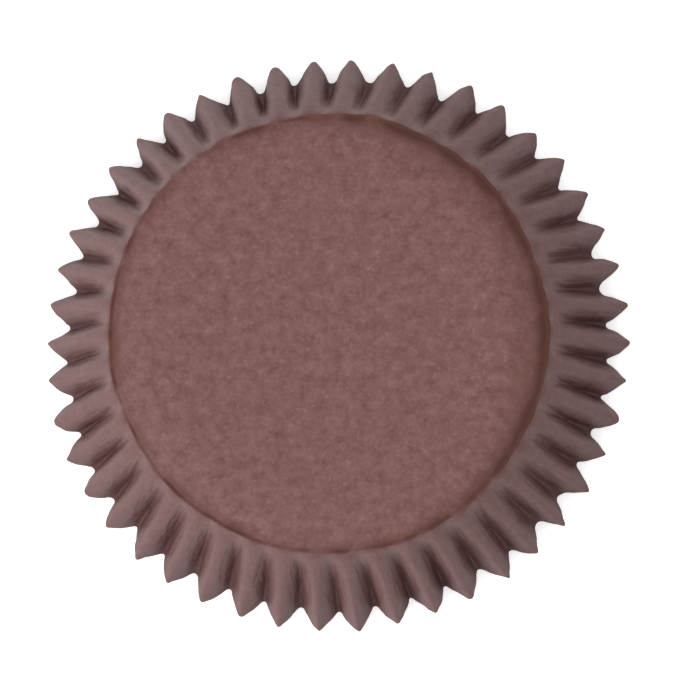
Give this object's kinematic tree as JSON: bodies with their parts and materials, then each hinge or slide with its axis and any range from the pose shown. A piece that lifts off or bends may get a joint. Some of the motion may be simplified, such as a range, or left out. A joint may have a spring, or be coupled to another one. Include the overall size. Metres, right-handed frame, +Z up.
{
  "type": "cupcake liner",
  "caption": "Fluted paper baking cup with a flat round bottom and a flared pleated wall, lying mouth down, brown.",
  "frame": {"origin": "middle of the rim, on the surface that the cup stands on, mouth down", "axes": "+Z up, from the mouth to the flat bottom, which faces up as the cup lies; +X and +Y in the rim's plane, +X through the crest of one flute"},
  "size_m": [0.0706, 0.0704, 0.027],
  "materials": {
    "brown_paper": "matte, dyed through, fine fibre mottling"
  },
  "bodies": {
    "root": {"paper_liner": "brown_paper"}
  },
  "joints": []
}
